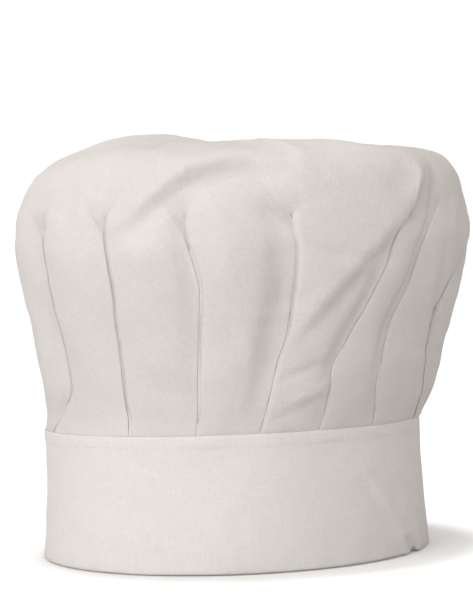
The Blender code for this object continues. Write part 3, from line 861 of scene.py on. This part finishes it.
def patch(name, start, end, low, high, out, thickness, rise=None, rows=18, columns=34, bow=0.0):
    """A flat layer laid along the band, its edges bowed away by bow."""
    turns, height = np.linspace(start, end, columns)[None, :], np.linspace(low, high, rows)[:, None]
    if rise:
        lifted = rise(turns) + 0 * height
    else:
        lifted = band_relief(turns, height / MM) * MM * np.sign(out + 1 * MM)
    across, up = (turns - start) / (end - start), (height - low) / (high - low)
    bowed = bow * ((2 * across - 1) ** 4 * 0.6 + (2 * up - 1) ** 6)
    points = band_points(turns, height, out + lifted + bowed)
    pattern = np.stack(np.meshgrid(np.radians(turns[0]) * BAND_RADIUS, height[:, 0]), axis=-1)
    return thicken(sheet_mesh(name, points, pattern), thickness)


def bent_thread(bend, sides=4, thickness=0.1):
    """A short thread bent along (side, rise) points, with the number of sides given."""
    bend = np.array(bend, float)
    tangent = np.gradient(bend, axis=0)
    tangent /= np.linalg.norm(tangent, axis=1)[:, None]
    points, faces = [], []
    for (side, rise), (ts, tr) in zip(bend, tangent):
        for corner in range(sides):
            angle = 2 * math.pi * corner / sides
            across, deep = math.cos(angle) * thickness, math.sin(angle) * thickness
            points.append((side - tr * across, deep, rise + ts * across))
    for ring in range(len(bend) - 1):
        for corner in range(sides):
            a, b = ring * sides + corner, ring * sides + (corner + 1) % sides
            faces.append((a, b, b + sides, a + sides))
    faces.append(tuple(range(sides))[::-1])
    faces.append(tuple(range((len(bend) - 1) * sides, len(bend) * sides)))
    return np.array(points), np.array(faces)


def pile(name, shape, start, end, low, high, pitch, out, rise, inwards, seed, tumble):
    """A field of small threads standing on a tape, in staggered rows, each turned a little by chance."""
    draw = np.random.default_rng(seed)
    places = []
    rows = int((high - low) / pitch)
    columns = int(math.radians(end - start) * BAND_RADIUS / pitch)
    for row in range(rows):
        for column in range(columns):
            across = (column + 0.5 + 0.5 * (row % 2) + draw.uniform(-0.2, 0.2) * tumble) / (columns + 0.5)
            turn = start + (end - start) * across
            up = low + (row + 0.5 + draw.uniform(-0.2, 0.2) * tumble) * pitch
            at = math.radians(turn)
            outward = np.array([math.sin(at), math.cos(at), 0]) * (-1 if inwards else 1)
            around = np.array([math.cos(at), -math.sin(at), 0])
            heading = draw.uniform(-0.9, 0.9) * tumble
            side = around * math.cos(heading) + np.array([0, 0, 1]) * math.sin(heading)
            lean = outward + draw.uniform(-0.35, 0.35) * tumble * np.array([0, 0, 1])
            deep = np.cross(lean, side)
            size = pitch * draw.uniform(1 - 0.15 * tumble, 1 + 0.15 * tumble)
            lifted = rise(turn) if rise else float(band_relief(turn, up / MM)) * MM
            centre = band_points(turn, up, out + lifted)
            places.append((centre, np.array([side * size, deep * size, lean * size])))
    return copies(name, shape, places)


LOOP_BEND = ((-0.42, -0.1), (-0.5, 0.28), (-0.3, 0.56), (0.0, 0.68), (0.3, 0.56), (0.5, 0.28), (0.42, -0.1))
HOOK_BEND = ((-0.3, -0.1), (-0.3, 0.3), (-0.2, 0.52), (0.02, 0.62), (0.24, 0.52), (0.3, 0.34))
LOOP = bent_thread(LOOP_BEND)
HOOK = bent_thread(HOOK_BEND, thickness=0.08)


def joined(name, pieces):
    """Pieces that are made as one, such as a tape and its pile."""
    bpy.ops.object.select_all(action="DESELECT")
    for piece in pieces:
        piece.select_set(True)
    bpy.context.view_layer.objects.active = pieces[0]
    bpy.ops.object.join()
    pieces[0].name = name
    return pieces[0]


# ---------------------------------------------------------------- finishes

def link_in(tree, kind, inputs=None, **options):
    """A node of a kind, with its options set and its inputs either set or linked."""
    made = tree.nodes.new(kind)
    for key, value in options.items():
        setattr(made, key, value)
    for key, value in (inputs or {}).items():
        if isinstance(value, bpy.types.NodeSocket):
            tree.links.new(value, made.inputs[key])
        else:
            made.inputs[key].default_value = value
    return made


def new_finish(name, roughness, sheen=0.0, sheen_roughness=0.5, specular=0.25):
    made = bpy.data.materials.new(name)
    made.use_nodes = True
    shader = made.node_tree.nodes["Principled BSDF"]
    shader.inputs["Roughness"].default_value = roughness
    shader.inputs["Sheen Weight"].default_value = sheen
    shader.inputs["Sheen Roughness"].default_value = sheen_roughness
    shader.inputs["Specular IOR Level"].default_value = specular
    return made, made.node_tree, shader


def blended(tree, factor, first, second):
    mix = link_in(tree, "ShaderNodeMix", data_type="RGBA")
    tree.links.new(factor, mix.inputs["Factor"])
    for socket, colour in ((mix.inputs[6], first), (mix.inputs[7], second)):
        if isinstance(colour, bpy.types.NodeSocket):
            tree.links.new(colour, socket)
        else:
            socket.default_value = (*colour, 1)
    return mix.outputs[2]


def span(tree, value, low, high, to_low=0.0, to_high=1.0):
    return link_in(tree, "ShaderNodeMapRange", {
        "Value": value, "From Min": low, "From Max": high, "To Min": to_low, "To Max": to_high,
    }).outputs["Result"]


def cloud(tree, place, scale, detail, roughness):
    inputs = {"Vector": place, "Scale": scale, "Detail": detail, "Roughness": roughness}
    return link_in(tree, "ShaderNodeTexNoise", inputs).outputs["Fac"]


def raised(tree, strength, distance, height, under=None, **options):
    """A bump of a height pattern, over another bump if there is one under it."""
    inputs = {"Strength": strength, "Distance": distance, "Height": height}
    if under is not None:
        inputs["Normal"] = under
    return link_in(tree, "ShaderNodeBump", inputs, **options).outputs[0]


def plain_weave(tree, pitch, slub=0.5):
    """Height of a plain weave, one thread over and one under, with uneven threads, on the cloth's pattern."""
    pattern = link_in(tree, "ShaderNodeUVMap", uv_map="pattern").outputs["UV"]
    wave = math.pi / 10 / pitch
    threads = {"Vector": pattern, "Scale": wave, "Distortion": slub, "Detail": 1.0, "Detail Scale": 0.4}
    warp = link_in(tree, "ShaderNodeTexWave", threads, bands_direction="X")
    weft = link_in(tree, "ShaderNodeTexWave", threads, bands_direction="Y")
    crossing = link_in(tree, "ShaderNodeTexChecker", {"Vector": pattern, "Scale": 1 / pitch})
    mix = link_in(tree, "ShaderNodeMix", {"Factor": crossing.outputs["Fac"]}, data_type="FLOAT")
    tree.links.new(warp.outputs["Fac"], mix.inputs[2])
    tree.links.new(weft.outputs["Fac"], mix.inputs[3])
    return pattern, mix.outputs[0]


def thread_streaks(tree, pattern, along, across):
    """Long thin flecks where single threads are thicker or paler than their neighbours."""
    stretch = link_in(tree, "ShaderNodeMapping", {"Vector": pattern, "Scale": (along, across, 1)})
    fleck = link_in(tree, "ShaderNodeTexNoise", {"Vector": stretch.outputs[0], "Scale": 1.0, "Detail": 2.0})
    return fleck.outputs["Fac"]


def cotton_finish(name, whites, shade):
    """Washed white cotton: plain weave, uneven threads, soft crumples, slightly uneven whiteness, and painted
    shade that darkens the weave's hollows.
    """
    made, tree, shader = new_finish(name, 0.86, sheen=0.22, sheen_roughness=0.45, specular=0.2)
    pattern, weave = plain_weave(tree, 0.42 * MM)
    warp = thread_streaks(tree, pattern, 90, 1500)
    weft = thread_streaks(tree, pattern, 1500, 90)
    place = link_in(tree, "ShaderNodeTexCoord").outputs["Object"]
    clouds = cloud(tree, place, 34.0, 3.0, 0.6)
    blots = cloud(tree, place, 95.0, 2.0, 0.55)
    grain = cloud(tree, place, 780.0, 2.0, 0.7)
    white = blended(tree, span(tree, clouds, 0.38, 0.62), whites[0], whites[1])
    white = blended(tree, span(tree, blots, 0.4, 0.68), white, whites[2])
    streaks = link_in(tree, "ShaderNodeMath", {0: warp, 1: weft}, operation="ADD").outputs[0]
    white = blended(tree, span(tree, streaks, 0.78, 1.3, 0.0, 0.5), white, shade)
    white = blended(tree, span(tree, grain, 0.42, 0.75, 0.0, 0.6), white, shade)
    # Painted shade: where the weave is low, between the threads, its colour is pulled darker.
    white = blended(tree, span(tree, weave, 0.0, 0.55, 0.45, 0.0), white, shade)
    tree.links.new(white, shader.inputs["Base Color"])
    tree.links.new(span(tree, weave, 0.0, 1.0, 0.95, 0.8), shader.inputs["Roughness"])
    crumple = link_in(tree, "ShaderNodeTexNoise", {
        "Vector": place, "Scale": 150.0, "Detail": 3.0, "Roughness": 0.55, "Distortion": 0.6,
    }).outputs["Fac"]
    soft = raised(tree, 0.5, 1.0 * MM, crumple)
    slubs = raised(tree, 0.6, 0.16 * MM, streaks, soft)
    tree.links.new(raised(tree, 0.7, 0.12 * MM, weave, slubs), shader.inputs["Normal"])
    return made


# Whiteness where the cloth is a single layer, and where it is doubled over the stiffening and pressed. The
# doubled whites are also painted lighter, as painted light for the brighter light that falls on the band. The
# darker colours go into thread flecks and grain, and into the weave's hollows as painted shade.
SINGLE_WHITES = ((0.800, 0.768, 0.745), (0.775, 0.750, 0.730), (0.805, 0.757, 0.738))
SINGLE_FLECKS_AND_WEAVE_SHADE = (0.690, 0.662, 0.640)
DOUBLED_WHITES_WITH_PAINTED_LIGHT = ((0.875, 0.842, 0.820), (0.850, 0.824, 0.805), (0.880, 0.832, 0.813))
DOUBLED_FLECKS_AND_WEAVE_SHADE = (0.765, 0.735, 0.713)


def thread_finish():
    """Polyester sewing thread: two strands twisted together, with a faint lustre and painted shade darkening
    the grooves of the twist.
    """
    made, tree, shader = new_finish("white_sewing_thread", 0.5, sheen=0.1, specular=0.4)
    place = link_in(tree, "ShaderNodeTexCoord").outputs["Object"]
    twist = link_in(tree, "ShaderNodeTexWave", {"Vector": place, "Scale": 700.0, "Distortion": 0.6},
                    bands_direction="DIAGONAL")
    # Painted shade: the colour goes darker where the twist's bump is low, in the grooves between the strands.
    twist_groove_shade = blended(tree, twist.outputs["Fac"], (0.66, 0.63, 0.60), (0.86, 0.84, 0.81))
    tree.links.new(twist_groove_shade, shader.inputs["Base Color"])
    tree.links.new(span(tree, twist.outputs["Fac"], 0, 1, 0.62, 0.45), shader.inputs["Roughness"])
    tree.links.new(raised(tree, 0.8, 0.08 * MM, twist.outputs["Fac"]), shader.inputs["Normal"])
    return made


def interlining_finish():
    """Bonded fibre stiffening: matted fibres with rows of fused points."""
    made, tree, shader = new_finish("bonded_stiffening", 0.95, sheen=0.1, specular=0.15)
    pattern = link_in(tree, "ShaderNodeUVMap", uv_map="pattern").outputs["UV"]
    fibres = link_in(tree, "ShaderNodeTexNoise", {
        "Vector": pattern, "Scale": 1400.0, "Detail": 4.0, "Distortion": 2.5,
    })
    points = link_in(tree, "ShaderNodeTexVoronoi", {"Vector": pattern, "Scale": 520.0, "Randomness": 0.15})
    dots = span(tree, points.outputs["Distance"], 0.16, 0.3, 1.0, 0.0)
    matted = blended(tree, fibres.outputs["Fac"], (0.70, 0.69, 0.66), (0.84, 0.83, 0.81))
    tree.links.new(blended(tree, dots, matted, (0.62, 0.61, 0.58)), shader.inputs["Base Color"])
    tree.links.new(span(tree, dots, 0, 1, 0.97, 0.6), shader.inputs["Roughness"])
    fuzz = raised(tree, 0.6, 0.15 * MM, fibres.outputs["Fac"])
    pressed = raised(tree, 0.7, 0.1 * MM, dots, fuzz, invert=True)
    tree.links.new(pressed, shader.inputs["Normal"])
    return made


def tape_finish(name, pale, dark, roughness, sheen, scale):
    """Nylon fastener tape: a tight knitted ground with uneven fluff, its colour painted darker where the knit
    sits low, as shade in its hollows.
    """
    made, tree, shader = new_finish(name, roughness, sheen=sheen, specular=0.35)
    place = link_in(tree, "ShaderNodeTexCoord").outputs["Object"]
    knit = link_in(tree, "ShaderNodeTexVoronoi", {"Vector": place, "Scale": scale, "Randomness": 0.6})
    fluff = link_in(tree, "ShaderNodeTexNoise", {"Vector": place, "Scale": scale * 0.4, "Detail": 4.0})
    both = {0: knit.outputs["Distance"], 1: fluff.outputs["Fac"]}
    shade = link_in(tree, "ShaderNodeMath", both, operation="MULTIPLY").outputs[0]
    # Painted shade: the colour is darker where the knit's bump is low, in its hollows.
    knit_hollow_shade = blended(tree, span(tree, shade, 0.1, 0.45), dark, pale)
    tree.links.new(knit_hollow_shade, shader.inputs["Base Color"])
    rough = span(tree, fluff.outputs["Fac"], 0.3, 0.7, roughness - 0.1, roughness + 0.08)
    tree.links.new(rough, shader.inputs["Roughness"])
    tree.links.new(raised(tree, 0.6, 0.15 * MM, shade), shader.inputs["Normal"])
    return made


def satin_finish():
    """Woven satin label: long floats in fine slanting lines, glossier than the cotton, with painted shade
    darkening the gaps between the floats.
    """
    made, tree, shader = new_finish("label_satin", 0.34, sheen=0.05, specular=0.5)
    pattern = link_in(tree, "ShaderNodeUVMap", uv_map="pattern").outputs["UV"]
    lines = {"Vector": pattern, "Scale": 1250.0, "Distortion": 0.8, "Detail": 2.0}
    floats = link_in(tree, "ShaderNodeTexWave", lines, bands_direction="DIAGONAL")
    streak = thread_streaks(tree, pattern, 60, 2600)
    # Painted shade: the colour is darker between the floats, where their bump is low; the streaks below are
    # darker threads.
    satin = blended(tree, floats.outputs["Fac"], (0.80, 0.80, 0.79), (0.90, 0.90, 0.89))
    satin = blended(tree, span(tree, streak, 0.4, 0.8, 0.0, 0.4), satin, (0.72, 0.72, 0.71))
    tree.links.new(satin, shader.inputs["Base Color"])
    tree.links.new(span(tree, streak, 0.3, 0.7, 0.28, 0.46), shader.inputs["Roughness"])
    tree.links.new(raised(tree, 0.4, 0.05 * MM, floats.outputs["Fac"]), shader.inputs["Normal"])
    return made


CROWN_COTTON = cotton_finish("washed_white_cotton", SINGLE_WHITES, SINGLE_FLECKS_AND_WEAVE_SHADE)
# The band's cotton is painted lighter than the crown's: partly for its doubled, pressed cloth, partly as
# painted light.
BAND_COTTON = cotton_finish("pressed_white_cotton_painted_lighter", DOUBLED_WHITES_WITH_PAINTED_LIGHT, DOUBLED_FLECKS_AND_WEAVE_SHADE)
THREAD = thread_finish()
INTERLINING = interlining_finish()
LOOP_NYLON = tape_finish("loop_pile_nylon", (0.84, 0.83, 0.81), (0.62, 0.61, 0.59), 0.72, 0.35, 1500.0)
HOOK_NYLON = tape_finish("hook_nylon", (0.86, 0.86, 0.84), (0.66, 0.66, 0.64), 0.42, 0.0, 1900.0)
SATIN = satin_finish()


def finish(piece, material):
    piece.data.materials.clear()
    piece.data.materials.append(material)
    return piece


# ---------------------------------------------------------------- putting the hat together

def blend_up(piece):
    """Bakes the placement of a piece of cloth between the band and the crown's top into its mesh."""
    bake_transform(piece)


def assemble_crown():
    crown = finish(make_crown(), CROWN_COTTON)
    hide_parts("crown_side", "crown_top")
    blend_up(crown)
    tape = finish(make_slit_binding(), CROWN_COTTON)
    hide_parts("slit_binding")
    blend_up(tape)
    for piece, node in ((make_binding_stitch(), "slit_binding_stitch"), (make_bar_tack(), "slit_bar_tack")):
        finish(piece, THREAD)
        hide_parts(node)
        blend_up(piece)


def assemble_band():
    band = finish(make_band(), BAND_COTTON)
    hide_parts("band_cloth")
    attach(band, "band")
    stiffening = finish(make_band_interlining(), INTERLINING)
    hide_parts("band_interlining")
    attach(stiffening, "band")
    ring = [(END_STITCH_TURN + 1, TOPSTITCH_HEIGHT), (359 - END_STITCH_TURN, TOPSTITCH_HEIGHT)]
    rows = [(stitched_line("band_topstitch_thread", ring, -0.02 * MM, seed=11), "band_topstitch")]
    inside = -BAND_THICKNESS
    for side, turn in (("right", END_STITCH_TURN), ("left", -END_STITCH_TURN)):
        edge = [(turn, 2.5 * MM), (turn, BAND_HEIGHT - 2.5 * MM)]
        row = stitched_line(f"band_end_thread_{side}", edge, inside, inside=True, seed=12)
        rows.append((row, f"band_end_stitch_{side}"))
    for row, node in rows:
        finish(row, THREAD)
        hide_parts(node)
        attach(row, "band")


def assemble_closure():
    tab = finish(make_tab(), BAND_COTTON)
    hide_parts("closure_tab", "closure_tab_root")
    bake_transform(tab)
    lining_out = 0.05 * MM + 0.3 * MM + LEAF + 0.44 * MM
    lining = patch("closure_tab_stiffening", TAB_START + 2.4, TAB_END - 2, TAB_LOW + 1.2 * MM,
                   TAB_HIGH - 1.4 * MM, lining_out, 0.5 * MM, rise=tab_rise)
    finish(lining, INTERLINING)
    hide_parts("closure_tab_interlining")
    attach(lining, "closure_tab")

    loop_base = patch("loop_tape_ground", LOOP_START, LOOP_END, LOOP_LOW, LOOP_HIGH, 0.3 * MM, 0.45 * MM)
    loops = pile("loop_tape_pile", LOOP, LOOP_START, LOOP_END, LOOP_LOW, LOOP_HIGH, 0.98 * MM, 0.5 * MM, None,
                 False, 21, 1.0)
    loop = finish(joined("loop_tape_pile_strip", [loop_base, loops]), LOOP_NYLON)
    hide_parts("loop_tape")
    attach(loop, "band")
    hook_base = patch("hook_tape_ground", HOOK_START, HOOK_END, HOOK_LOW, HOOK_HIGH, 0.02 * MM, 0.45 * MM,
                      rise=tab_rise)
    hooks = pile("hook_tape_hooks", HOOK, HOOK_START, HOOK_END, HOOK_LOW, HOOK_HIGH, 1.25 * MM, -0.2 * MM,
                 tab_rise, True, 22, 0.1)
    hook = finish(joined("hook_tape_strip", [hook_base, hooks]), HOOK_NYLON)
    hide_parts("hook_tape")
    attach(hook, "closure_tab")

    outer_leaf = 0.05 * MM + 0.3 * MM + LEAF + 0.04 * MM + 0.85 * MM + LEAF
    root_face = 0.05 * MM + 2 * LEAF + 0.04 * MM
    root_box = box_corners(ROOT_START, TAB_START - 1.2, TAB_LOW, TAB_HIGH)
    loop_box = box_corners(LOOP_START, LOOP_END, LOOP_LOW, LOOP_HIGH, 1.4 * MM)
    hook_box = box_corners(HOOK_START, HOOK_END, HOOK_LOW, HOOK_HIGH, 1.4 * MM)
    label_box = box_corners(LABEL_START, LABEL_END, LABEL_LOW, LABEL_HIGH, 1.2 * MM)
    edge_box = box_corners(TAB_START + 1.5, TAB_END, TAB_LOW, TAB_HIGH, 2.4 * MM)
    rows = (
        (stitched_line("tab_root_thread", root_box, root_face, seed=31), "tab_root_stitch", "band"),
        (stitched_line("loop_tape_thread", loop_box, 0.62 * MM, seed=32), "loop_tape_stitch", "band"),
        (stitched_line("hook_tape_thread", hook_box, outer_leaf, tab_rise, seed=33),
         "hook_tape_stitch", "closure_tab"),
        (stitched_line("closure_tab_edge_thread", edge_box[:4], outer_leaf, tab_rise, seed=34),
         "closure_tab_edge_stitch", "closure_tab"),
        (stitched_line("care_label_thread", label_box, -BAND_THICKNESS - 0.42 * MM, inside=True, seed=35),
         "care_label_stitch", "band"),
    )
    for row, node, body in rows:
        finish(row, THREAD)
        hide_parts(node)
        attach(row, body)

    label_out = -BAND_THICKNESS - 0.25 * MM
    label = patch("blank_care_label", LABEL_START, LABEL_END, LABEL_LOW, LABEL_HIGH, label_out, 0.22 * MM,
                  bow=-0.25 * MM)
    finish(label, SATIN)
    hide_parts("care_label")
    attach(label, "band")


assemble_crown()
assemble_band()
assemble_closure()


# ---------------------------------------------------------------- studio

FLOOR_SIZE, FLOOR_DROP = 8, 0.0002
# The floor's whiteness to the camera and to the light it throws back, and its own faint glow.
FLOOR_WHITE, FLOOR_BOUNCE, FLOOR_GLOW = 0.8, 0.38, 0.16
ROOM_LIGHT, ROOM_TINT = 0.62, (1.0, 0.95, 0.90, 1)
BACKDROP_WHITE = 1.05
CAMERA_PLACE = (0.0047, -0.949, 0.1295)
CAMERA_LENS, CAMERA_DIP, CAMERA_ROLL = 112.1, 0.267, 2.13  # mm, degrees, degrees


def make_floor():
    bpy.ops.object.select_all(action="DESELECT")
    bpy.ops.mesh.primitive_plane_add(size=FLOOR_SIZE, location=(0, 0, -FLOOR_DROP))
    floor = bpy.context.object
    floor.name = "studio_floor"
    paint = bpy.data.materials.new("pale_floor")
    paint.use_nodes = True
    shader = paint.node_tree.nodes["Principled BSDF"]
    shader.inputs["Roughness"].default_value = 1.0
    shader.inputs["Specular IOR Level"].default_value = 0.0
    shader.inputs["Emission Color"].default_value = (1, 1, 1, 1)
    tree = paint.node_tree
    seen = link_in(tree, "ShaderNodeLightPath").outputs["Is Camera Ray"]
    tree.links.new(span(tree, seen, 0, 1, FLOOR_BOUNCE, FLOOR_WHITE), shader.inputs["Base Color"])
    tree.links.new(span(tree, seen, 0, 1, 0.0, FLOOR_GLOW), shader.inputs["Emission Strength"])
    floor.data.materials.append(paint)
    return floor


def make_backdrop():
    """White behind the hat, and a dimmer white light all round it."""
    scene = bpy.context.scene
    scene.view_settings.view_transform = "Standard"
    world = bpy.data.worlds.new("studio_white")
    world.use_nodes = True
    tree = world.node_tree
    back = tree.nodes["Background"]
    back.inputs["Color"].default_value = ROOM_TINT
    back.inputs["Strength"].default_value = ROOM_LIGHT
    seen = link_in(tree, "ShaderNodeBackground", {"Color": (1, 1, 1, 1), "Strength": BACKDROP_WHITE})
    path = link_in(tree, "ShaderNodeLightPath")
    mix = link_in(tree, "ShaderNodeMixShader", {
        0: path.outputs["Is Camera Ray"], 1: back.outputs[0], 2: seen.outputs[0],
    })
    tree.links.new(mix.outputs[0], tree.nodes["World Output"].inputs[0])
    scene.world = world


def lamp(name, azimuth, elevation, strength, softness):
    """A broad soft light. Its azimuth is 0 in front of the hat and grows towards +X."""
    light = bpy.data.lights.new(name, "SUN")
    light.energy = strength
    light.angle = math.radians(softness)
    thing = bpy.data.objects.new(name, light)
    a, e = math.radians(azimuth), math.radians(elevation)
    towards = Vector((math.sin(a) * math.cos(e), -math.cos(a) * math.cos(e), math.sin(e)))
    thing.rotation_euler = towards.to_track_quat("Z", "Y").to_euler()
    bpy.context.scene.collection.objects.link(thing)
    return thing


def make_camera():
    camera = bpy.data.cameras.new("studio_camera")
    camera.lens = CAMERA_LENS
    camera.sensor_width = 36
    camera.clip_start, camera.clip_end = 0.05, 30
    eye = bpy.data.objects.new("studio_camera", camera)
    eye.location = CAMERA_PLACE
    eye.rotation_euler = (math.radians(90 - CAMERA_DIP), math.radians(CAMERA_ROLL), 0)
    bpy.context.scene.collection.objects.link(eye)
    bpy.context.scene.camera = eye


floor = make_floor()
make_backdrop()
lamp("key_softbox", -46, 6, 2.45, 60)
lamp("front_fill", 28, 8, 0.64, 50)
lamp("overhead", 60, 87, 0.45, 14)
lit_floor = bpy.data.collections.new("lit_floor")
lit_floor.objects.link(floor)
lamp("floor_light", -140, 87.5, 1.35, 9).light_linking.receiver_collection = lit_floor
make_camera()
